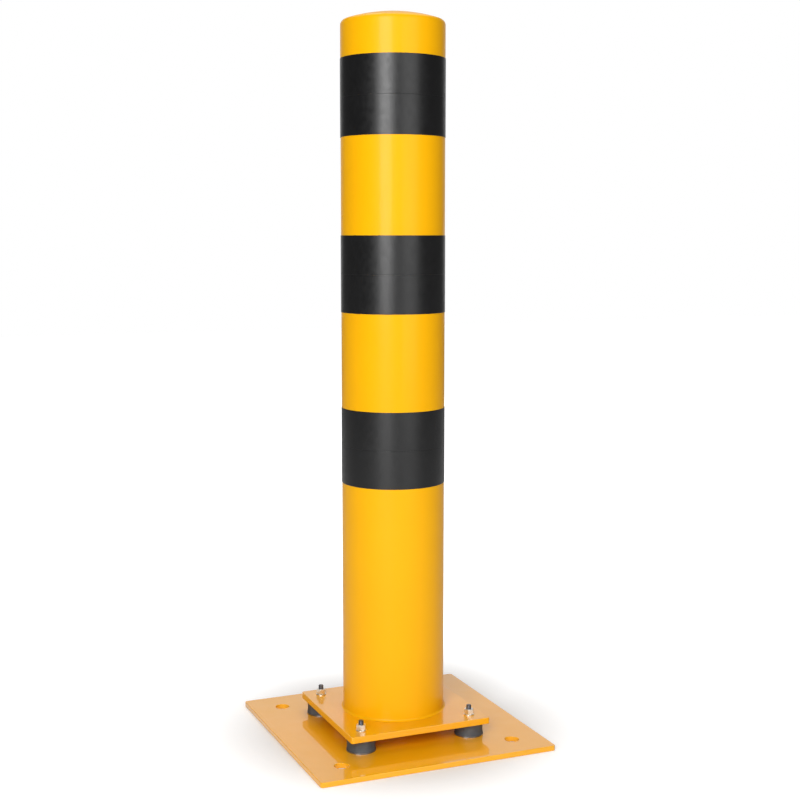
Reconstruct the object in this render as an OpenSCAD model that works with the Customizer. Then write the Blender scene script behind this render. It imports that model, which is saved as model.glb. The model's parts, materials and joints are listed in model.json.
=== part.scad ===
// Impact-absorbing bollard: a capped steel post on a foot plate that stands on
// four rubber buffers over an anchored base plate.
// Millimetres, +Z up, origin at the centre of the base plate's underside.

/* [Base plate] */
// Width and depth of the base plate
base_w = 380; // [370:5:480]
// Thickness of the base plate
base_t = 8; // [8:0.5:12]
// Radius of the base plate's corners
base_corner_r = 5; // [2:1:10]
// Diameter of each ground anchor hole
anchor_d = 22; // [14:1:26]
// Distance from the plate's edge to each anchor hole's centre
anchor_edge = 50; // [40:1:55]

/* [Foot plate] */
// Width and depth of the foot plate
foot_w = 230; // [225:5:276]
// Thickness of the foot plate
foot_t = 10; // [8:0.5:15]
// Radius of the foot plate's corners
foot_corner_r = 4; // [2:1:8]
// Distance from the foot plate's edge to each buffer's axis
buffer_edge = 25; // [23:0.5:30]

/* [Post] */
// Outside diameter of the tube
tube_d = 159; // [130:1:191]
// Wall of the tube
tube_wall = 4.5; // [3:0.5:6.5]
// Length of the tube
tube_l = 1052; // [880:1:1300]
// Leg of the fillet weld at the tube's foot
weld_leg = 3; // [2:0.5:6]

/* [Cap] */
// Wall of the dished cap
cap_wall = 4; // [3:0.5:5]
// Height of the cap's straight rim above the tube
cap_rim_h = 4; // [2:0.5:10]
// Outside radius of the cap's knuckle
knuckle_r = 8; // [7:0.5:12]
// Rise of the crown above the top of the knuckle
crown_rise = 11; // [6:1:25]
// Depth of the cap's spigot inside the tube
spigot_h = 12; // [6:1:25]

/* [Bands] */
// Height of one strip of film; a band is two strips
strip_h = 58.5; // [40:0.5:70]
// Thickness of the film
strip_t = 0.6; // [0.3:0.1:1]
// Distance from the cap's rim down to the top band
first_band_drop = 45.5; // [20:0.5:80]
// Bare height of tube between two bands
band_gap = 147; // [100:1:177]

/* [Buffers] */
// Diameter of each buffer
buffer_d = 45; // [38:1:46]
// Height of each buffer with both of its steel plates
buffer_h = 20; // [20:1:40]
// Thickness of each steel plate bonded to the rubber
bond_t = 2; // [1.5:0.5:3]
// Depth of the moulded waist in the rubber
waist_depth = 1; // [0.5:0.5:2]
// Diameter of the threaded boss on the lower bonded plate
boss_d = 16; // [14:0.5:20]
// Height of the threaded boss above the lower bonded plate
boss_h = 5; // [4:0.5:6]

/* [Fasteners] */
// Diameter of the studs and of the screws
stud_d = 8; // [6.5:0.5:10]
// Length of stud above the nut
stud_end = 6.4; // [4:0.2:12]
// Width of each nut across its flats
nut_af = 13; // [12:0.5:17]
// Height of each nut
nut_h = 8; // [6:0.5:10]
// Diameter of each washer
washer_d = 16; // [14:0.5:24]
// Thickness of each washer
washer_t = 1.6; // [1.4:0.1:3]
// Diameter of each countersunk screw head
csk_d = 16; // [14:0.5:18]
// Width of the hexagon socket in each screw head, across its flats
socket_af = 5; // [4:0.5:6]
// Depth of the hexagon socket
socket_depth = 2.5; // [2:0.5:3]

/* [Fits] */
// Gap all round between a stud or screw and the plate that it passes through
hole_clear = 0.5; // [0.3:0.1:1.5]
// Gap all round between a male and a female thread
thread_clear = 0.05; // [0.02:0.01:0.1]
// Gap between the spigot and the tube, and between the rubber and the boss
seat_clear = 0.3; // [0.1:0.1:0.5]
// Depth of the screw heads below the plate's underside
head_sink = 0.3; // [0.2:0.1:1]

/* [Hidden] */
$fn = 96;
tube_r = tube_d / 2;
buffer_x = foot_w / 2 - buffer_edge;
anchor_x = base_w / 2 - anchor_edge;
stud_r = stud_d / 2;
hole_r = stud_r + hole_clear;
boss_bore_r = stud_r + thread_clear;
end_bevel = 1;
nut_bevel = 1;

foot_z = base_t + buffer_h;
tube_z = foot_z + foot_t;
cap_z = tube_z + tube_l;
nut_z = tube_z + washer_t;
stud_top_z = nut_z + nut_h + stud_end;
core_z = base_t + bond_t;
core_h = buffer_h - 2 * bond_t;
boss_top_z = core_z + boss_h;
boss_roof = 1;
csk_h = csk_d / 2 - stud_r;

// The crown is an arc about the post's axis that runs smoothly into the knuckle.
// Heights in the cap's outline are measured from the knuckle's centre.
knuckle_x = tube_r - knuckle_r;
crown_top = knuckle_r + crown_rise;
crown_r = (pow(knuckle_x, 2) + pow(crown_top, 2) - pow(knuckle_r, 2)) / (2 * crown_rise);
crown_centre = crown_top - crown_r;

// Corners of the square that carries the buffers
CORNERS = [[-1, -1], [1, -1], [-1, 1], [1, 1]];
CORNER_NAMES = ["front_left", "front_right", "rear_left", "rear_right"];
BANDS = ["top_band", "middle_band", "lower_band"];
BAND_NODES = [for (band = BANDS) for (half = ["upper", "lower"]) str(band, "_", half, "_strip")];
function at_corners(piece) = [for (corner = CORNER_NAMES) str(piece, "_", corner)];
SCREWS = at_corners("base_screw");
LOWER_PLATES = at_corners("buffer_base");
CORES = at_corners("buffer_rubber");
STUDS = at_corners("buffer_stud");
WASHERS = at_corners("washer");
NUTS = at_corners("nut");
BODY_NODES = ["base_plate", "foot_plate", "post_tube", "foot_weld", "top_cap"];

// A square plate with round corners, standing on z = 0
module plate(width, thickness, corner_r) {
    inner = width - 2 * corner_r;
    translate([-inner / 2, -width / 2, 0]) cube([inner, width, thickness]);
    translate([-width / 2, -inner / 2, 0]) cube([width, inner, thickness]);
    for (c = CORNERS)
        translate([c[0] * inner / 2, c[1] * inner / 2, 0]) cylinder(r = corner_r, h = thickness);
}

// Places its child at one corner of the buffer square
module at_buffer(i) {
    translate([CORNERS[i][0] * buffer_x, CORNERS[i][1] * buffer_x, 0]) children();
}

// A rod with a bevelled end, from z = 0 up
module bevelled_rod(radius, height) {
    cylinder(r = radius, h = height - end_bevel);
    translate([0, 0, height - end_bevel])
        cylinder(r1 = radius, r2 = radius - end_bevel, h = end_bevel);
}

module base_plate() {
    color([0.98, 0.66, 0.05])
    difference() {
        plate(base_w, base_t, base_corner_r);
        for (c = CORNERS)
            translate([c[0] * anchor_x, c[1] * anchor_x, -1]) cylinder(d = anchor_d, h = base_t + 2);
        for (i = [0:3])
            at_buffer(i) {
                translate([0, 0, -1]) cylinder(r = hole_r, h = base_t + 2);
                translate([0, 0, -1])
                    cylinder(r1 = csk_d / 2 + head_sink + 1, r2 = stud_r, h = csk_h + head_sink + 1);
            }
    }
}

module foot_plate() {
    color([0.98, 0.68, 0.05])
    translate([0, 0, foot_z])
    difference() {
        plate(foot_w, foot_t, foot_corner_r);
        for (i = [0:3]) at_buffer(i) translate([0, 0, -1]) cylinder(r = hole_r, h = foot_t + 2);
    }
}

module post_tube() {
    color([0.99, 0.78, 0.02])
    translate([0, 0, tube_z])
    difference() {
        cylinder(r = tube_r, h = tube_l);
        translate([0, 0, -1]) cylinder(r = tube_r - tube_wall, h = tube_l + 2);
    }
}

module foot_weld() {
    color([0.98, 0.72, 0.03])
    translate([0, 0, tube_z])
    rotate_extrude() polygon([[tube_r, 0], [tube_r + weld_leg, 0], [tube_r, weld_leg]]);
}

// The cap's filled outline, moved in by inset; its flat end lies at -bottom
module cap_outline(inset, bottom) {
    tangent = [knuckle_x, -crown_centre] * 1.5;
    intersection() {
        translate([0, -bottom]) square([tube_r, bottom + crown_top + 1]);
        union() {
            translate([knuckle_x, 0]) circle(r = knuckle_r - inset);
            translate([0, -bottom]) square([tube_r - inset, bottom]);
            intersection() {
                translate([0, crown_centre]) circle(r = crown_r - inset, $fn = 360);
                translate([0, crown_centre]) polygon([[0, 0], tangent, [0, tangent[1]]]);
            }
        }
    }
}

module top_cap() {
    spigot_r = tube_r - tube_wall - seat_clear;
    color([0.99, 0.80, 0.02])
    translate([0, 0, cap_z])
    rotate_extrude() {
        translate([0, cap_rim_h])
        difference() {
            cap_outline(0, cap_rim_h);
            cap_outline(cap_wall, cap_rim_h + 1);
        }
        translate([spigot_r - cap_wall, -spigot_h]) square([cap_wall, spigot_h + cap_rim_h]);
        translate([spigot_r - 1, 0]) square([tube_r - spigot_r, cap_rim_h]);
    }
}

// One strip of film round the tube; strips count down from the top
module band_strip(i) {
    band = floor(i / 2);
    drop = first_band_drop + band * (2 * strip_h + band_gap) + (i % 2) * strip_h;
    color([0.07, 0.07, 0.07])
    translate([0, 0, cap_z - drop - strip_h])
    difference() {
        cylinder(r = tube_r + strip_t, h = strip_h);
        translate([0, 0, -1]) cylinder(r = tube_r, h = strip_h + 2);
    }
}

// Countersunk screw from beneath, with a hexagon socket
module base_screw() {
    color([0.72, 0.72, 0.70])
    translate([0, 0, head_sink])
    difference() {
        union() {
            cylinder(r1 = csk_d / 2, r2 = stud_r, h = csk_h);
            bevelled_rod(stud_r, boss_top_z - boss_roof - head_sink);
        }
        translate([0, 0, -1])
            cylinder(d = socket_af / cos(30), h = socket_depth + 1, $fn = 6);
    }
}

// Lower bonded plate of a buffer, with its threaded boss
module buffer_base() {
    color([0.45, 0.45, 0.45])
    translate([0, 0, base_t])
    difference() {
        union() {
            cylinder(d = buffer_d, h = bond_t);
            cylinder(d = boss_d, h = bond_t + boss_h);
        }
        translate([0, 0, -1]) cylinder(r = boss_bore_r, h = bond_t + boss_h - boss_roof / 2 + 1);
    }
}

// Rubber of a buffer, with a shallow waist and a pocket for the boss
module buffer_rubber() {
    color([0.33, 0.33, 0.34])
    translate([0, 0, core_z])
    difference() {
        cylinder(d = buffer_d, h = core_h);
        rotate_extrude()
            translate([buffer_d / 2 + pow(core_h, 2) / (8 * waist_depth) - waist_depth / 2, core_h / 2])
            circle(r = pow(core_h, 2) / (8 * waist_depth) + waist_depth / 2, $fn = 180);
        translate([0, 0, -1])
            cylinder(d = boss_d + 2 * seat_clear, h = boss_h + seat_clear + 1);
    }
}

// Upper bonded plate of a buffer, with the stud that holds the foot plate
module buffer_stud() {
    color([0.40, 0.40, 0.42])
    translate([0, 0, foot_z - bond_t]) {
        cylinder(d = buffer_d, h = bond_t);
        bevelled_rod(stud_r, stud_top_z - foot_z + bond_t);
    }
}

module washer() {
    color([0.85, 0.85, 0.83])
    translate([0, 0, tube_z])
    difference() {
        cylinder(d = washer_d, h = washer_t);
        translate([0, 0, -1]) cylinder(r = hole_r, h = washer_t + 2);
    }
}

// Hexagon nut with bevelled corners
module nut() {
    corner_r = nut_af / 2 / cos(30);
    color([0.90, 0.90, 0.88])
    translate([0, 0, nut_z])
    difference() {
        intersection() {
            cylinder(r = corner_r, h = nut_h, $fn = 6);
            rotate_extrude()
            polygon([
                [0, 0], [corner_r - nut_bevel, 0], [corner_r, nut_bevel / 2],
                [corner_r, nut_h - nut_bevel / 2], [corner_r - nut_bevel, nut_h], [0, nut_h]
            ]);
        }
        translate([0, 0, -1]) cylinder(r = boss_bore_r, h = nut_h + 2);
    }
}

base_plate();
foot_plate();
post_tube();
foot_weld();
top_cap();
for (i = [0:len(BAND_NODES) - 1])
    band_strip(i);
for (i = [0:3]) {
    at_buffer(i) base_screw();
    at_buffer(i) buffer_base();
    at_buffer(i) buffer_rubber();
    at_buffer(i) buffer_stud();
    at_buffer(i) washer();
    at_buffer(i) nut();
}
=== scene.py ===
"""Impact-absorbing bollard: finished meshes, materials, studio light and camera."""

import json
import logging
import math
from dataclasses import dataclass, field
from enum import Enum
from typing import Callable

import bmesh
import bpy
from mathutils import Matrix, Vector


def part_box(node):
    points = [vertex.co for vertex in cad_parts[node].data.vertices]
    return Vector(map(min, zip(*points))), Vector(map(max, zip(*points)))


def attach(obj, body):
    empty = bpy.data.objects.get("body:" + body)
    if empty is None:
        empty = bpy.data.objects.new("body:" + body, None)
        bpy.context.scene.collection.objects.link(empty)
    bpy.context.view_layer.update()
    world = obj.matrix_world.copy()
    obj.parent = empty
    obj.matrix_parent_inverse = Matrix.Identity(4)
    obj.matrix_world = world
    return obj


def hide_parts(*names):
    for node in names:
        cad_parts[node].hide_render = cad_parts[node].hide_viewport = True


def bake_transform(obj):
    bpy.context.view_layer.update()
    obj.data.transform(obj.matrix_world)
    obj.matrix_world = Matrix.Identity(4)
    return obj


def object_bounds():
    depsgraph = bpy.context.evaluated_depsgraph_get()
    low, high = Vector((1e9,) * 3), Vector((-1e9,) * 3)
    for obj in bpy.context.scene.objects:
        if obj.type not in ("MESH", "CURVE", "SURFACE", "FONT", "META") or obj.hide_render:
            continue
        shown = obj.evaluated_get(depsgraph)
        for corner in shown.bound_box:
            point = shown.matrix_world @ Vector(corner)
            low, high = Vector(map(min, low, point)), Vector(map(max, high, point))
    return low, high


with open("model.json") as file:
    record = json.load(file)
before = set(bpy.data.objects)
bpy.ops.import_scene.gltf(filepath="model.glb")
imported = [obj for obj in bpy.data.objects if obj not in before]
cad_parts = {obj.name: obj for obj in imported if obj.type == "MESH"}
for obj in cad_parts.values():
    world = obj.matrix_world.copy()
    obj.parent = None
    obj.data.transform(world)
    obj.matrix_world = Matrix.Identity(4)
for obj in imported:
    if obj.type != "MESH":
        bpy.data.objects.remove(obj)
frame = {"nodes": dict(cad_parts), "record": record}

LOG = logging.getLogger("bollard")
MM = 0.001
LEVEL = 0.99999
MERGE_DIST = 1e-7
DEGENERATE_DIST = 1e-8
CORNER_STEPS = 8
HOLE_STEPS = 48
EDGE_STEPS = 6
EDGE_SUPPORT = 1.4
CAD_LOW, CAD_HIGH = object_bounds()

Point = tuple[float, float]
Colour = tuple[float, float, float]


class Body(Enum):
    """The rigid bodies that pieces ride on."""

    BASE = "base"
    BUFFERS = "buffers"
    POST = "post"


class Corner(Enum):
    """Corners of the square of buffers, as the node names end."""

    FRONT_LEFT = "front_left"
    FRONT_RIGHT = "front_right"
    REAR_LEFT = "rear_left"
    REAR_RIGHT = "rear_right"


# ---------------------------------------------------------------- mesh tools


def radius_of(node: str) -> float:
    """Largest distance of a node's surface from its own upright axis.

    Args:
        node: Name of the CAD node.

    Returns:
        The radius in metres.
    """
    low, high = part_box(node)
    middle = (low + high) / 2
    corners = frame["nodes"][node].data.vertices
    return max(math.hypot(v.co.x - middle.x, v.co.y - middle.y) for v in corners)


def centre_of(node: str) -> Point:
    """Plan position of a node's upright axis.

    Args:
        node: Name of the CAD node.

    Returns:
        X and Y in metres.
    """
    low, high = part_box(node)
    return (low.x + high.x) / 2, (low.y + high.y) / 2


def shank_radius(stud: str) -> float:
    """Radius of a stud's shank, read at its bevelled upper end.

    Args:
        stud: Name of the stud's CAD node.

    Returns:
        The radius in metres.
    """
    x, y = centre_of(stud)
    middle = sum((corner.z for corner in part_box(stud)), 0.0) / 2
    shank = [v.co for v in frame["nodes"][stud].data.vertices if v.co.z > middle]
    return max(math.hypot(p.x - x, p.y - y) for p in shank)


def rounded(points: list[tuple[float, float, float]], steps: int = 5) -> list[Point]:
    """Rounds the corners of a closed outline.

    Args:
        points: Radius, height and corner radius of each corner.
        steps: Segments in each rounded corner.

    Returns:
        The outline's points.
    """
    outline: list[Point] = []
    for i, (x, z, r) in enumerate(points):
        here = Vector((x, z))
        if r <= 0:
            outline.append((x, z))
            continue
        before = (Vector(points[i - 1][:2]) - here).normalized()
        after = (Vector(points[(i + 1) % len(points)][:2]) - here).normalized()
        half = before.angle(after) / 2
        middle = here + (before + after).normalized() * r / math.sin(half)
        start = here + before * r / math.tan(half) - middle
        end = here + after * r / math.tan(half) - middle
        turn = start.angle_signed(end)
        for k in range(steps + 1):
            a = -turn * k / steps
            spun = Vector(
                (start.x * math.cos(a) - start.y * math.sin(a),
                 start.x * math.sin(a) + start.y * math.cos(a))
            )
            outline.append(tuple(middle + spun))
    return outline


def finished(name: str, bm: bmesh.types.BMesh, sharp_deg: float = 35.0) -> bpy.types.Object:
    """Turns a bmesh into a smooth-shaded object in the scene.

    Args:
        name: Name of the new piece.
        bm: The mesh, which is freed.
        sharp_deg: Edges sharper than this stay crisp.

    Returns:
        The new object.
    """
    bmesh.ops.remove_doubles(bm, verts=bm.verts, dist=MERGE_DIST)
    bmesh.ops.dissolve_degenerate(bm, edges=bm.edges, dist=DEGENERATE_DIST)
    bmesh.ops.recalc_face_normals(bm, faces=bm.faces)
    mesh = bpy.data.meshes.new(name)
    bm.to_mesh(mesh)
    bm.free()
    mesh.shade_smooth()
    mesh.set_sharp_from_angle(angle=math.radians(sharp_deg))
    for face in mesh.polygons:
        if abs(face.normal.z) > LEVEL:
            face.use_smooth = False
    piece = bpy.data.objects.new(name, mesh)
    bpy.context.scene.collection.objects.link(piece)
    return piece


def skin_rings(bm: bmesh.types.BMesh, rings: list[list[Vector]], closed: bool) -> None:
    """Joins rings of equal length with faces.

    Args:
        bm: The mesh that gets the faces.
        rings: Rings of points, each closed on itself.
        closed: Whether the last ring joins the first.
    """
    loops = [[bm.verts.new(p) for p in ring] for ring in rings]
    count = len(rings)
    for i in range(count if closed else count - 1):
        low, high = loops[i], loops[(i + 1) % count]
        for j in range(len(low)):
            k = (j + 1) % len(low)
            bm.faces.new((low[j], low[k], high[k], high[j]))


def lathe(
    name: str,
    outline: list[Point],
    centre: Point = (0.0, 0.0),
    steps: int = 96,
    swell: Callable[[float], float] | None = None,
) -> bpy.types.Object:
    """Turns a closed outline about an upright axis.

    Args:
        name: Name of the new piece.
        outline: Radius and height of each point, in metres.
        centre: Plan position of the axis.
        steps: Segments round the axis.
        swell: Extra radius for an angle.

    Returns:
        The new object.
    """
    bm = bmesh.new()
    rings = []
    for r, z in outline:
        ring = []
        for j in range(steps):
            a = 2 * math.pi * j / steps
            reach = r + (swell(a) if swell and r > 0 else 0.0)
            x, y = centre[0] + reach * math.cos(a), centre[1] + reach * math.sin(a)
            ring.append(Vector((x, y, z)))
        rings.append(ring)
    skin_rings(bm, rings, closed=True)
    return finished(name, bm)


def rounded_walls(
    bm: bmesh.types.BMesh, flat: list[Point], inward: float, low_z: float, high_z: float, edge_r: float
) -> list[list[bmesh.types.BMEdge]]:
    """Side walls of a plate or a hole, with rounded edges.

    Args:
        bm: The mesh that gets the walls.
        flat: The wall's closed outline in plan.
        inward: 1 for the plate's outside, -1 for a hole.
        low_z: Height of the lower face.
        high_z: Height of the upper face.
        edge_r: Radius of the edges.

    Returns:
        The edges of the lower rim and those of the upper rim.
    """
    count = len(flat)
    normals = []
    for j in range(count):
        along = Vector(flat[(j + 1) % count]) - Vector(flat[j - 1])
        normals.append(Vector((along.y, -along.x)).normalized() * inward)
    levels = [(edge_r * (1 - math.sin(t)), low_z + edge_r * (1 - math.cos(t)))
              for t in (math.pi / 2 * k / EDGE_STEPS for k in range(EDGE_STEPS + 1))]
    levels.append((0.0, low_z + edge_r * EDGE_SUPPORT))
    levels += [(pull, high_z + low_z - z) for pull, z in reversed(levels)]
    loops = []
    for pull, z in levels:
        loops.append([
            bm.verts.new((p[0] - n.x * pull, p[1] - n.y * pull, z))
            for p, n in zip(flat, normals)
        ])
    for a, b in zip(loops, loops[1:]):
        for j in range(count):
            k = (j + 1) % count
            bm.faces.new((a[j], a[k], b[k], b[j]))
    return [
        [bm.edges.get((loop[j], loop[(j + 1) % count])) for j in range(count)]
        for loop in (loops[0], loops[-1])
    ]


def plate_with_holes(
    name: str, node: str, corner_r: float, edge_r: float, holes: list[tuple[float, float, float]]
) -> bpy.types.Object:
    """A square plate with rounded corners, softened edges and round holes.

    Args:
        name: Name of the new piece.
        node: CAD node that gives its size and place.
        corner_r: Radius of its corners in plan.
        edge_r: Radius of its edges.
        holes: Plan position and radius of each hole.

    Returns:
        The new object.
    """
    low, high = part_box(node)
    inner_x, inner_y = high.x - corner_r, high.y - corner_r
    outer = []
    for q, (sx, sy) in enumerate(((1, 1), (-1, 1), (-1, -1), (1, -1))):
        for k in range(CORNER_STEPS + 1):
            a = math.radians(90 * (q + k / CORNER_STEPS))
            outer.append((
                sx * inner_x + corner_r * math.cos(a),
                sy * inner_y + corner_r * math.sin(a),
            ))
    bm = bmesh.new()
    rims = [rounded_walls(bm, outer, 1.0, low.z, high.z, edge_r)]
    for x, y, r in holes:
        ring = [(x + r * math.cos(2 * math.pi * j / HOLE_STEPS),
                 y + r * math.sin(2 * math.pi * j / HOLE_STEPS)) for j in range(HOLE_STEPS)]
        rims.append(rounded_walls(bm, ring, -1.0, low.z, high.z, edge_r))
    for side in (0, 1):
        edges = [edge for rim in rims for edge in rim[side]]
        bmesh.ops.triangle_fill(bm, use_beauty=True, use_dissolve=False, edges=edges)
    return finished(name, bm)


# ----------------------------------------------------------------- materials


NOISE_FLOOR = 0.3
NOISE_CEILING = 0.7
CLOUD_DETAIL = 5.0
SMEAR_DETAIL = 3.0
SMEAR_FINER = 4
GRAIN_DETAIL = 2.0
UNSTRETCHED: Colour = (1.0, 1.0, 1.0)


def surface_noise() -> bpy.types.NodeTree:
    """The noise that every finish uses, as a shader node group.

    Returns:
        The group: Scale, Detail, Stretch, Low and High in, Mask out.
    """
    group = bpy.data.node_groups.new("surface_noise", "ShaderNodeTree")
    sockets = (
        ("Scale", "NodeSocketFloat", 1.0),
        ("Detail", "NodeSocketFloat", GRAIN_DETAIL),
        ("Stretch", "NodeSocketVector", UNSTRETCHED),
        ("Low", "NodeSocketFloat", 0.0),
        ("High", "NodeSocketFloat", 1.0),
    )
    for name, kind, start in sockets:
        socket = group.interface.new_socket(name, in_out="INPUT", socket_type=kind)
        socket.default_value = start
    group.interface.new_socket("Mask", in_out="OUTPUT", socket_type="NodeSocketFloat")
    nodes, links = group.nodes, group.links
    inward, outward = nodes.new("NodeGroupInput"), nodes.new("NodeGroupOutput")
    place, mapping = nodes.new("ShaderNodeTexCoord"), nodes.new("ShaderNodeMapping")
    noise, ramp = nodes.new("ShaderNodeTexNoise"), nodes.new("ShaderNodeMapRange")
    ramp.inputs["From Min"].default_value = NOISE_FLOOR
    ramp.inputs["From Max"].default_value = NOISE_CEILING
    links.new(place.outputs["Object"], mapping.inputs["Vector"])
    links.new(inward.outputs["Stretch"], mapping.inputs["Scale"])
    links.new(mapping.outputs["Vector"], noise.inputs["Vector"])
    links.new(inward.outputs["Scale"], noise.inputs["Scale"])
    links.new(inward.outputs["Detail"], noise.inputs["Detail"])
    links.new(noise.outputs["Fac"], ramp.inputs["Value"])
    links.new(inward.outputs["Low"], ramp.inputs["To Min"])
    links.new(inward.outputs["High"], ramp.inputs["To Max"])
    links.new(ramp.outputs["Result"], outward.inputs["Mask"])
    return group


def place_noise(
    material: bpy.types.Material, noise: bpy.types.NodeTree, values: dict[str, float | Colour]
) -> bpy.types.NodeSocket:
    """Places the shared noise in a material.

    Args:
        material: The material that gets it.
        noise: The shared group.
        values: This use's value for each input that it sets.

    Returns:
        The Mask output.
    """
    node = material.node_tree.nodes.new("ShaderNodeGroup")
    node.node_tree = noise
    for name, value in values.items():
        node.inputs[name].default_value = value
    return node.outputs["Mask"]


@dataclass(frozen=True)
class Finish:
    """One surface finish: colour, gloss and the small detail that breaks them up."""

    name: str
    slot: str
    colour: Colour
    worn: Colour
    rough_low: float
    rough_high: float
    metallic: float = 0.0
    coat: float = 0.0
    coat_rough: float = 0.05
    specular: float = 0.5
    cloud_scale: float = 9.0
    grain_scale: float = 700.0
    grain_height: float = 0.00002
    grain_stretch: Colour = UNSTRETCHED

    def material(self, noise: bpy.types.NodeTree) -> bpy.types.Material:
        """Builds the material.

        Args:
            noise: The shared noise group.

        Returns:
            A node-based material.
        """
        material = bpy.data.materials.new(self.name)
        material.use_nodes = True
        nodes, links = material.node_tree.nodes, material.node_tree.links
        shader = nodes["Principled BSDF"]
        shader.inputs["Metallic"].default_value = self.metallic
        shader.inputs["Coat Weight"].default_value = self.coat
        shader.inputs["Coat Roughness"].default_value = self.coat_rough
        shader.inputs["Specular IOR Level"].default_value = self.specular
        clouds = place_noise(material, noise, {"Scale": self.cloud_scale, "Detail": CLOUD_DETAIL})
        mix = nodes.new("ShaderNodeMix")
        mix.data_type = "RGBA"
        mix.inputs["A"].default_value = (*self.colour, 1.0)
        mix.inputs["B"].default_value = (*self.worn, 1.0)
        links.new(clouds, mix.inputs["Factor"])
        links.new(mix.outputs["Result"], shader.inputs["Base Color"])
        smear = place_noise(material, noise, {
            "Scale": self.cloud_scale * SMEAR_FINER, "Detail": SMEAR_DETAIL,
            "Low": self.rough_low, "High": self.rough_high,
        })
        links.new(smear, shader.inputs["Roughness"])
        grain = place_noise(material, noise, {
            "Scale": self.grain_scale, "Detail": GRAIN_DETAIL, "Stretch": self.grain_stretch,
        })
        bump = nodes.new("ShaderNodeBump")
        bump.inputs["Strength"].default_value = 1.0
        bump.inputs["Distance"].default_value = self.grain_height
        links.new(grain, bump.inputs["Height"])
        links.new(bump.outputs["Normal"], shader.inputs["Normal"])
        return material


POST_PAINT = Finish(
    "post_powder_coat", "yellow_post",
    colour=(0.90, 0.435, 0.001), worn=(0.88, 0.42, 0.001),
    rough_low=0.32, rough_high=0.40,
    coat=0.08, coat_rough=0.10, specular=0.14, grain_scale=260.0, grain_height=0.00003,
)
PLATE_PAINT = Finish(
    "plate_powder_coat", "yellow_plate",
    colour=(0.92, 0.42, 0.001), worn=(0.89, 0.40, 0.001),
    rough_low=0.30, rough_high=0.38,
    coat=1.0, coat_rough=0.03, specular=0.3, grain_scale=240.0, grain_height=0.00001,
)
BAND_FILM = Finish(
    "band_film", "black_film",
    colour=(0.0022, 0.0022, 0.0024), worn=(0.004, 0.004, 0.0043),
    rough_low=0.32, rough_high=0.40,
    specular=0.6, cloud_scale=30.0, grain_scale=900.0, grain_height=0.00002,
)
RUBBER = Finish(
    "moulded_rubber", "buffer_rubber",
    colour=(0.040, 0.048, 0.058), worn=(0.078, 0.088, 0.099),
    rough_low=0.5, rough_high=0.7,
    cloud_scale=60.0, grain_scale=1500.0, grain_height=0.00006,
)
ZINC = Finish(
    "bright_zinc", "zinc_steel",
    colour=(0.97, 0.95, 0.88), worn=(0.90, 0.87, 0.79),
    rough_low=0.30, rough_high=0.45,
    metallic=1.0, cloud_scale=120.0, grain_scale=2400.0, grain_height=0.00002,
)
DARK_STEEL = Finish(
    "dark_plated_steel", "dark_steel",
    colour=(0.17, 0.17, 0.19), worn=(0.30, 0.30, 0.32),
    rough_low=0.34, rough_high=0.50,
    metallic=1.0, cloud_scale=150.0, grain_scale=2000.0, grain_height=0.00002,
)
PLAIN_STEEL = Finish(
    "plain_steel", "plain_steel",
    colour=(0.20, 0.20, 0.21), worn=(0.30, 0.29, 0.28),
    rough_low=0.35, rough_high=0.5,
    metallic=1.0, cloud_scale=90.0, grain_scale=1600.0, grain_height=0.00003,
)


@dataclass
class Dresser:
    """Gives pieces their material and body."""

    made: dict[str, bpy.types.Material] = field(default_factory=dict)
    noise: bpy.types.NodeTree = field(default_factory=surface_noise)

    def material(self, finish: Finish) -> bpy.types.Material:
        """The finish's material, built once.

        Args:
            finish: The finish.

        Returns:
            Its material.
        """
        if finish.name not in self.made:
            self.made[finish.name] = finish.material(self.noise)
        return self.made[finish.name]

    def dress(self, piece: bpy.types.Object, finish: Finish) -> None:
        """Puts a finish on a piece.

        Args:
            piece: The piece.
            finish: Its finish.
        """
        piece.data.materials.clear()
        piece.data.materials.append(self.material(finish))

    def place(self, piece: bpy.types.Object, node: str, body: Body, finish: Finish) -> None:
        """Dresses a piece that stands for a CAD node, and lets it ride.

        Args:
            piece: The new piece.
            node: The CAD node that it stands for.
            body: The body that it rides on.
            finish: Its finish.
        """
        self.dress(piece, finish)
        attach(piece, body.value)
        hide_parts(node)
        LOG.info("%s stands for %s", piece.name, node)

    def repaint(self, node: str, finish: Finish) -> None:
        """Gives a CAD node, which keeps its shape, a better material.

        Args:
            node: The CAD node.
            finish: Its finish.
        """
        piece = frame["nodes"][node]
        if piece.data.materials:
            for i in range(len(piece.data.materials)):
                piece.data.materials[i] = self.material(finish)
        else:
            piece.data.materials.append(self.material(finish))
        LOG.info("%s keeps its shape", node)


# ------------------------------------------------------------ sub-assemblies


@dataclass
class BasePlate:
    """The anchored plate on the ground, with the screws from beneath."""

    corner_r: float = 5 * MM
    edge_r: float = 0.9 * MM
    screw_clear: float = 0.3 * MM

    def build(self, dresser: Dresser) -> None:
        """Builds the plate and dresses the screws.

        Args:
            dresser: Gives the pieces their finish and body.
        """
        pattern = next(m for m in frame["record"]["mounts"] if m["name"] == "anchor_holes")
        half = pattern["dims"]["spacing_x_mm"] / 2 * MM
        hole_r = pattern["dims"]["hole_r_mm"] * MM
        holes = [(sx * half, sy * half, hole_r) for sx in (-1, 1) for sy in (-1, 1)]
        for corner in Corner:
            screw = f"base_screw_{corner.value}"
            holes.append((*centre_of(screw), radius_of(screw) + self.screw_clear))
            dresser.repaint(screw, ZINC)
        plate = plate_with_holes("anchored_plate", "base_plate", self.corner_r, self.edge_r, holes)
        dresser.place(plate, "base_plate", Body.BASE, PLATE_PAINT)


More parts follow.
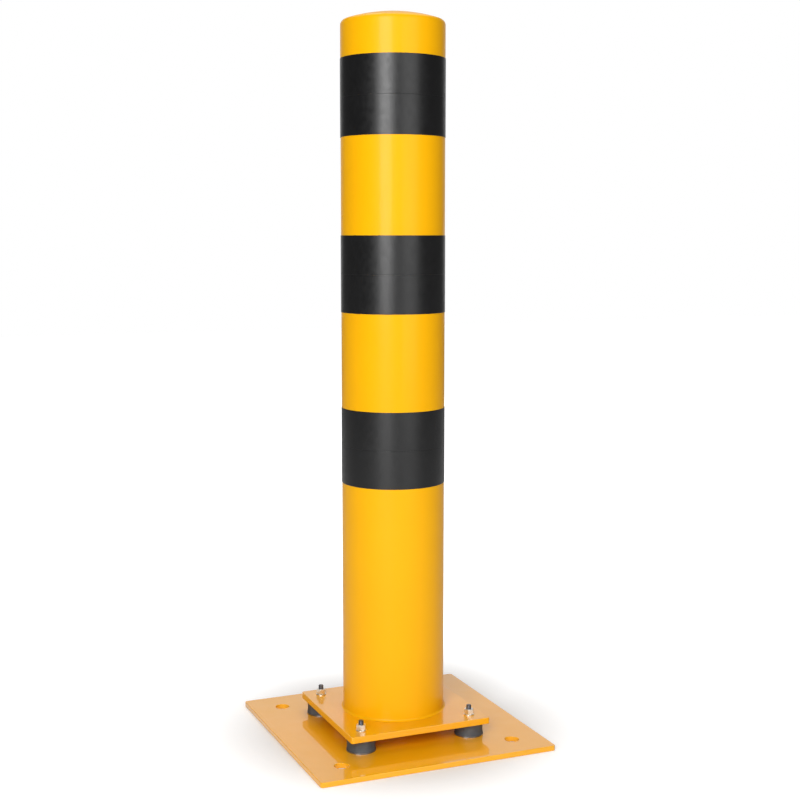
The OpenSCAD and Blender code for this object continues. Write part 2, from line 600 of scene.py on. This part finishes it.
@dataclass
class FootPlate:
    """The square plate that carries the post."""

    corner_r: float = 4 * MM
    edge_r: float = 0.9 * MM
    stud_clear: float = 0.5 * MM

    def build(self, dresser: Dresser) -> None:
        """Builds the plate with its stud holes.

        Args:
            dresser: Gives the pieces their finish and body.
        """
        holes = []
        for corner in Corner:
            stud = f"buffer_stud_{corner.value}"
            holes.append((*centre_of(stud), shank_radius(stud) + self.stud_clear))
        plate = plate_with_holes("post_foot_plate", "foot_plate", self.corner_r, self.edge_r, holes)
        dresser.place(plate, "foot_plate", Body.POST, PLATE_PAINT)


@dataclass
class Post:
    """Tube, dished cap and the weld at the foot."""

    wall: float = 4.5 * MM
    knuckle_r: float = 8 * MM
    rim_h: float = 4 * MM
    cap_wall: float = 4 * MM
    bead_ripple: float = 0.12 * MM
    bead_count: int = 150
    bead_bite: float = 0.1 * MM
    bead_lift: float = 0.02 * MM
    bead_sag: float = 0.126
    bead_arc: int = 6
    steps_per_ripple: int = 4
    cap_steps: int = 14
    steps: int = 240

    def tube(self, dresser: Dresser) -> None:
        """Builds the tube.

        Args:
            dresser: Gives the pieces their finish and body.
        """
        low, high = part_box("post_tube")
        outer, inner = radius_of("post_tube"), radius_of("post_tube") - self.wall
        outline = [(outer, low.z), (outer, high.z), (inner, high.z), (inner, low.z)]
        tube = lathe("post_barrel", outline, steps=self.steps)
        dresser.place(tube, "post_tube", Body.POST, POST_PAINT)

    def cap_arc(self, inset: float, count: int) -> list[Point]:
        """The cap's curved outline from its rim to the axis.

        Args:
            inset: How far inside the outer surface the outline runs.
            count: Segments in the knuckle and in the crown.

        Returns:
            Radius and height of each point.
        """
        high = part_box("top_cap")[1]
        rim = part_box("post_tube")[1].z + self.rim_h
        arm = radius_of("top_cap") - self.knuckle_r
        top = high.z - rim
        crown_r = (arm**2 + top**2 - self.knuckle_r**2) / (2 * (top - self.knuckle_r))
        middle = high.z - crown_r
        lean = math.atan2(arm, rim - middle)
        points = [
            (arm + (self.knuckle_r - inset) * math.cos(t),
             rim + (self.knuckle_r - inset) * math.sin(t))
            for t in ((math.pi / 2 - lean) * k / count for k in range(count + 1))
        ]
        points += [
            ((crown_r - inset) * math.sin(t), middle + (crown_r - inset) * math.cos(t))
            for t in (lean * (1 - k / count) for k in range(1, count + 1))
        ]
        return points

    def cap(self, dresser: Dresser) -> None:
        """Builds the cap.

        Args:
            dresser: Gives the pieces their finish and body.
        """
        rim_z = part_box("post_tube")[1].z
        outer = self.cap_arc(0.0, self.cap_steps)
        inner = self.cap_arc(self.cap_wall, self.cap_steps)
        outline = [(outer[0][0], rim_z), *outer, *reversed(inner), (inner[0][0], rim_z)]
        cap = lathe("dished_cap", outline, steps=self.steps)
        dresser.place(cap, "top_cap", Body.POST, POST_PAINT)

    def weld(self, dresser: Dresser) -> None:
        """Builds the weld bead, faintly rippled under its paint.

        Args:
            dresser: Gives the pieces their finish and body.
        """
        low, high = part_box("foot_weld")
        tube_r, toe_r = radius_of("post_tube"), radius_of("foot_weld")
        leg = high.z - low.z
        outline = [(tube_r - self.bead_bite, low.z + self.bead_lift)]
        for k in range(self.bead_arc + 1):
            t = k / self.bead_arc
            sag = self.bead_sag * leg * math.sin(math.pi * t)
            outline.append((toe_r - (toe_r - tube_r) * t - sag, low.z + leg * t - sag))
        bead = lathe(
            "foot_bead", outline, steps=self.bead_count * self.steps_per_ripple,
            swell=lambda a: self.bead_ripple * (math.sin(a * self.bead_count) - 1) / 2,
        )
        dresser.place(bead, "foot_weld", Body.POST, POST_PAINT)

    def build(self, dresser: Dresser) -> None:
        """Builds the whole post.

        Args:
            dresser: Gives the pieces their finish and body.
        """
        self.tube(dresser)
        self.cap(dresser)
        self.weld(dresser)


@dataclass
class Bands:
    """The six strips of black film, each with its lap joint at the rear."""

    edge_r: float = 0.25 * MM
    guard: float = 0.7 * MM
    seam: float = 0.03 * MM
    lap_rise: float = 0.2 * MM
    lap_half: float = math.radians(4)
    lap_at: float = math.radians(75)
    edge_steps: int = 4
    steps: int = 360

    def lap(self, angle: float) -> float:
        """Extra radius where the film's end laps over its start.

        Args:
            angle: Direction round the post.

        Returns:
            The extra radius.
        """
        away = abs(math.remainder(angle - self.lap_at, 2 * math.pi))
        return self.lap_rise if away < self.lap_half else 0.0

    def build(self, dresser: Dresser) -> None:
        """Builds every strip.

        Args:
            dresser: Gives the pieces their finish and body.
        """
        inner = radius_of("post_tube")
        for node in sorted(n for n in frame["nodes"] if n.endswith("_strip")):
            low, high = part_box(node)
            outer = radius_of(node)
            bottom, top = low.z + self.seam / 2, high.z - self.seam / 2
            outline = rounded([
                (inner, bottom, 0), (outer, bottom, self.edge_r), (outer, bottom + self.guard, 0),
                (outer, top - self.guard, 0), (outer, top, self.edge_r), (inner, top, 0),
            ], self.edge_steps)
            strip = lathe(f"film_{node}", outline, steps=self.steps, swell=self.lap)
            dresser.place(strip, node, Body.POST, BAND_FILM)


@dataclass
class Buffer:
    """One bonded rubber buffer with its stud, washer and nut."""

    corner: Corner
    stud_clear: float = 0.5 * MM
    pitch: float = 1.25 * MM
    thread_depth: float = 0.7 * MM
    plate_t: float = 2 * MM
    waist: float = 1.0 * MM
    lip: float = 1.2 * MM
    core_r: float = 11 * MM
    parting: float = 0.25 * MM
    rubber_levels: int = 12
    rubber_steps: int = 72
    edge_steps: int = 3
    disc_edge: float = 0.4 * MM
    shank_steps: int = 64
    thread_steps: int = 48
    levels_per_turn: int = 12
    thread_root: float = 1.15
    thread_flank: float = 1.3
    end_bevel: float = 0.8
    thread_sharp_deg: float = 50.0
    washer_edge: float = 0.35 * MM
    washer_steps: int = 72
    nut_steps: int = 96
    nut_sharp_deg: float = 25.0
    nut_crest: float = 0.97
    bore_chamfer: float = 0.4 * MM
    chamfer: float = math.radians(30)

    def named(self, piece: str) -> str:
        """The name of this corner's node or piece."""
        return f"{piece}_{self.corner.value}"

    def rubber(self, dresser: Dresser) -> None:
        """Builds the rubber as two halves round the boss, which meet at mid height.

        Args:
            dresser: Gives the pieces their finish and body.
        """
        node = self.named("buffer_rubber")
        low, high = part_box(node)
        middle, radius = (low.z + high.z) / 2, radius_of(node)
        centre = centre_of(node)
        half = middle - low.z
        halves = (
            ("lower", low.z, Body.BASE, Body.BUFFERS),
            ("upper", high.z, Body.BUFFERS, Body.POST),
        )
        for part, rim, first, second in halves:
            flank = []
            for k in range(self.rubber_levels + 1):
                t = k / self.rubber_levels
                z = rim + (middle - rim) * t
                depth = min(half * t / self.lip, 1.0)
                pull = self.waist * (1 - (1 - t) ** 2) * depth
                if k == self.rubber_levels:
                    pull -= self.parting
                flank.append((radius - pull, z))
            outline = [(self.core_r, rim), *flank, (self.core_r, middle)]
            name = f"rubber_{part}_{self.corner.value}"
            block = lathe(name, outline, centre, self.rubber_steps)
            dresser.dress(block, RUBBER)
            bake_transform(block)
            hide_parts(node)
            LOG.info("%s stands for half of %s", name, node)

    def stud(self, dresser: Dresser) -> None:
        """Builds the bonded plate with its threaded stud.

        Args:
            dresser: Gives the pieces their finish and body.
        """
        node, nut = self.named("buffer_stud"), self.named("nut")
        low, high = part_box(node)
        centre = centre_of(node)
        root_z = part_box(nut)[0].z
        stud_r = shank_radius(node)
        disc_r, disc_z = radius_of(node), low.z + self.plate_t
        plate = rounded([
            (disc_r, low.z, self.disc_edge), (disc_r, disc_z, self.disc_edge), (stud_r, disc_z, 0),
        ], self.edge_steps)
        outline = [(0.0, low.z), *plate, (stud_r, root_z), (0.0, root_z)]
        shank = lathe(self.named("stud_shank"), outline, centre, self.shank_steps)
        dresser.place(shank, node, Body.POST, DARK_STEEL)
        thread = self.thread(self.named("stud_thread"), centre, stud_r, root_z, high.z)
        dresser.dress(thread, DARK_STEEL)
        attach(thread, Body.POST.value)
        LOG.info("%s is cut on %s", thread.name, node)

    def thread(
        self, name: str, centre: Point, radius: float, low: float, high: float
    ) -> bpy.types.Object:
        """A helical thread with a bevelled end.

        Args:
            name: Name of the new piece.
            centre: Plan position of its axis.
            radius: Outside radius of the thread.
            low: Height of its lower end.
            high: Height of its upper end.

        Returns:
            The new object.
        """
        bm = bmesh.new()
        levels = math.ceil((high - low) / self.pitch * self.levels_per_turn)
        rings = [[Vector((*centre, low))] * self.thread_steps]
        for i in range(levels + 1):
            z = low + (high - low) * i / levels
            bevel = max(0.0, self.pitch * self.end_bevel - (high - z))
            ring = []
            for j in range(self.thread_steps):
                a = 2 * math.pi * j / self.thread_steps
                phase = (z / self.pitch - j / self.thread_steps) % 1.0
                share = self.thread_root - abs(2 * phase - 1) * self.thread_flank
                cut = self.thread_depth * min(1.0, max(0.0, share))
                reach = min(radius - cut, radius - bevel)
                x, y = centre[0] + reach * math.cos(a), centre[1] + reach * math.sin(a)
                ring.append(Vector((x, y, z)))
            rings.append(ring)
        rings.append([Vector((*centre, high))] * self.thread_steps)
        skin_rings(bm, rings, closed=False)
        return finished(name, bm, self.thread_sharp_deg)

    def washer(self, dresser: Dresser) -> None:
        """Builds the washer with its stamped, softened edges.

        Args:
            dresser: Gives the pieces their finish and body.
        """
        node = self.named("washer")
        low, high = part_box(node)
        inner = shank_radius(self.named("buffer_stud")) + self.stud_clear
        outer, edge = radius_of(node), self.washer_edge
        outline = rounded([
            (inner, low.z, edge), (outer, low.z, edge),
            (outer, high.z, edge), (inner, high.z, edge),
        ], self.edge_steps)
        washer = lathe(self.named("flat_washer"), outline, centre_of(node), self.washer_steps)
        dresser.place(washer, node, Body.POST, ZINC)

    def nut(self, dresser: Dresser) -> None:
        """Builds the hexagon nut with its turned chamfers.

        Args:
            dresser: Gives the pieces their finish and body.
        """
        node = self.named("nut")
        low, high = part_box(node)
        x, y = centre_of(node)
        across, steps, ease = high.y - low.y, self.nut_steps, self.bore_chamfer
        crest, bore = across / 2 * self.nut_crest, shank_radius(self.named("buffer_stud"))
        rings: list[list[Vector]] = [[] for _ in range(6)]
        for j in range(steps):
            a = 2 * math.pi * j / steps
            flat = across / 2 / math.cos((a % (math.pi / 3)) - math.pi / 6)
            drop = (flat - crest) * math.tan(self.chamfer)
            levels = [
                (bore, low.z + ease), (bore + ease, low.z), (crest, low.z),
                (flat, low.z + drop), (flat, high.z - drop), (crest, high.z),
            ]
            for ring, (r, z) in zip(rings, levels):
                ring.append(Vector((x + r * math.cos(a), y + r * math.sin(a), z)))
        throat = [(bore + ease, high.z), (bore, high.z - ease)]
        for r, z in throat:
            rings.append([
                Vector((x + r * math.cos(a), y + r * math.sin(a), z))
                for a in (2 * math.pi * j / steps for j in range(steps))
            ])
        bm = bmesh.new()
        skin_rings(bm, rings, closed=True)
        dresser.place(finished(self.named("hex_nut"), bm, self.nut_sharp_deg), node, Body.POST, ZINC)

    def build(self, dresser: Dresser) -> None:
        """Builds the whole buffer.

        Args:
            dresser: Gives the pieces their finish and body.
        """
        dresser.repaint(self.named("buffer_base"), PLAIN_STEEL)
        self.rubber(dresser)
        self.stud(dresser)
        self.washer(dresser)
        self.nut(dresser)


# -------------------------------------------------------------------- studio


@dataclass(frozen=True)
class Softbox:
    """A rectangular soft light; its direction turns from straight in front towards +X."""

    name: str
    turn_deg: float
    distance: float
    height: float
    size: Point
    power: float


SOFTBOXES = (
    Softbox("key", turn_deg=-38.0, distance=2.6, height=1.6, size=(1.2, 2.2), power=71.0),
    Softbox("fill", turn_deg=14.0, distance=2.8, height=1.3, size=(1.8, 2.2), power=24.0),
    Softbox("top", turn_deg=160.0, distance=1.0, height=3.2, size=(2.5, 2.5), power=44.0),
    Softbox("rear", turn_deg=157.0, distance=4.2, height=1.6, size=(5.5, 2.6), power=31.0),
)


@dataclass
class Studio:
    """Camera, floor and soft light."""

    eye: tuple[float, float, float] = (-0.8205, -1.9753, 0.7808)
    heading_deg: float = 22.845
    tilt_deg: float = 6.78
    lens_mm: float = 62.39
    floor_half: float = 9.0
    floor_colour: Colour = (0.86, 0.86, 0.86)
    floor_rough: float = 0.9
    white: Colour = (1.0, 1.0, 1.0)
    aim_share: float = 0.5
    floor_glow: float = 1.0
    # The floor has no glow inside the first radius and full glow beyond the second, which paints a
    # contact shadow round the base.
    painted_shadow_inner_r: float = 0.2
    painted_shadow_outer_r: float = 0.5
    world_seen: float = 1.0
    world_light: float = 0.10

    def camera(self) -> None:
        """Places the camera."""
        data = bpy.data.cameras.new("camera")
        data.lens = self.lens_mm
        camera = bpy.data.objects.new("camera", data)
        camera.location = self.eye
        camera.rotation_euler = (
            math.radians(90 - self.tilt_deg), 0.0, -math.radians(self.heading_deg)
        )
        bpy.context.scene.collection.objects.link(camera)
        bpy.context.scene.camera = camera

    def floor(self) -> None:
        """Lays the pale floor, which glows white for camera rays only and keeps a painted contact
        shadow round the base, where its glow fades out.
        """
        bm = bmesh.new()
        bmesh.ops.create_grid(bm, x_segments=1, y_segments=1, size=self.floor_half)
        floor = finished("floor", bm)
        material = bpy.data.materials.new("floor_white")
        material.use_nodes = True
        shader = material.node_tree.nodes["Principled BSDF"]
        shader.inputs["Base Color"].default_value = (*self.floor_colour, 1.0)
        shader.inputs["Roughness"].default_value = self.floor_rough
        shader.inputs["Emission Color"].default_value = (*self.white, 1.0)
        nodes, links = material.node_tree.nodes, material.node_tree.links
        path, glow = nodes.new("ShaderNodeLightPath"), nodes.new("ShaderNodeMapRange")
        place, reach = nodes.new("ShaderNodeTexCoord"), nodes.new("ShaderNodeVectorMath")
        away, seen = nodes.new("ShaderNodeMapRange"), nodes.new("ShaderNodeMath")
        reach.operation, seen.operation = "LENGTH", "MULTIPLY"
        # Painted contact shadow: the glow fades in with distance from the post, so the floor stays
        # darker round the base and under the anchor holes.
        away.inputs["From Min"].default_value = self.painted_shadow_inner_r
        away.inputs["From Max"].default_value = self.painted_shadow_outer_r
        glow.inputs["To Max"].default_value = self.floor_glow
        links.new(place.outputs["Object"], reach.inputs[0])
        links.new(reach.outputs["Value"], away.inputs["Value"])
        links.new(away.outputs["Result"], seen.inputs[0])
        links.new(path.outputs["Is Camera Ray"], seen.inputs[1])
        links.new(seen.outputs["Value"], glow.inputs["Value"])
        links.new(glow.outputs["Result"], shader.inputs["Emission Strength"])
        floor.data.materials.append(material)

    def world(self) -> None:
        """A white surround, dimmer as a light than as a backdrop."""
        world = bpy.data.worlds.new("studio")
        world.use_nodes = True
        nodes, links = world.node_tree.nodes, world.node_tree.links
        sky, path = nodes["Background"], nodes.new("ShaderNodeLightPath")
        strength = nodes.new("ShaderNodeMapRange")
        sky.inputs["Color"].default_value = (*self.white, 1.0)
        strength.inputs["To Min"].default_value = self.world_light
        strength.inputs["To Max"].default_value = self.world_seen
        links.new(path.outputs["Is Camera Ray"], strength.inputs["Value"])
        links.new(strength.outputs["Result"], sky.inputs["Strength"])
        bpy.context.scene.world = world

    def softbox(self, box: Softbox) -> None:
        """Places a soft light aimed at the post.

        Args:
            box: The light's place, size and power.
        """
        data = bpy.data.lights.new(box.name, "AREA")
        data.shape = "RECTANGLE"
        data.size, data.size_y = box.size
        data.energy = box.power
        light = bpy.data.objects.new(box.name, data)
        turn = math.radians(box.turn_deg)
        light.location = (box.distance * math.sin(turn), -box.distance * math.cos(turn), box.height)
        aim = Vector((0.0, 0.0, CAD_HIGH.z * self.aim_share)) - light.location
        light.rotation_euler = aim.to_track_quat("-Z", "Y").to_euler()
        bpy.context.scene.collection.objects.link(light)

    def build(self) -> None:
        """Builds the studio."""
        self.camera()
        self.floor()
        self.world()
        for box in SOFTBOXES:
            self.softbox(box)
        bpy.context.scene.view_settings.view_transform = "Standard"


def main() -> None:
    """Builds the studio and every sub-assembly."""
    logging.basicConfig(level=logging.INFO, format="%(message)s")
    Studio().build()
    dresser = Dresser()
    BasePlate().build(dresser)
    FootPlate().build(dresser)
    Post().build(dresser)
    Bands().build(dresser)
    for corner in Corner:
        Buffer(corner).build(dresser)


if __name__ == "__main__":
    main()
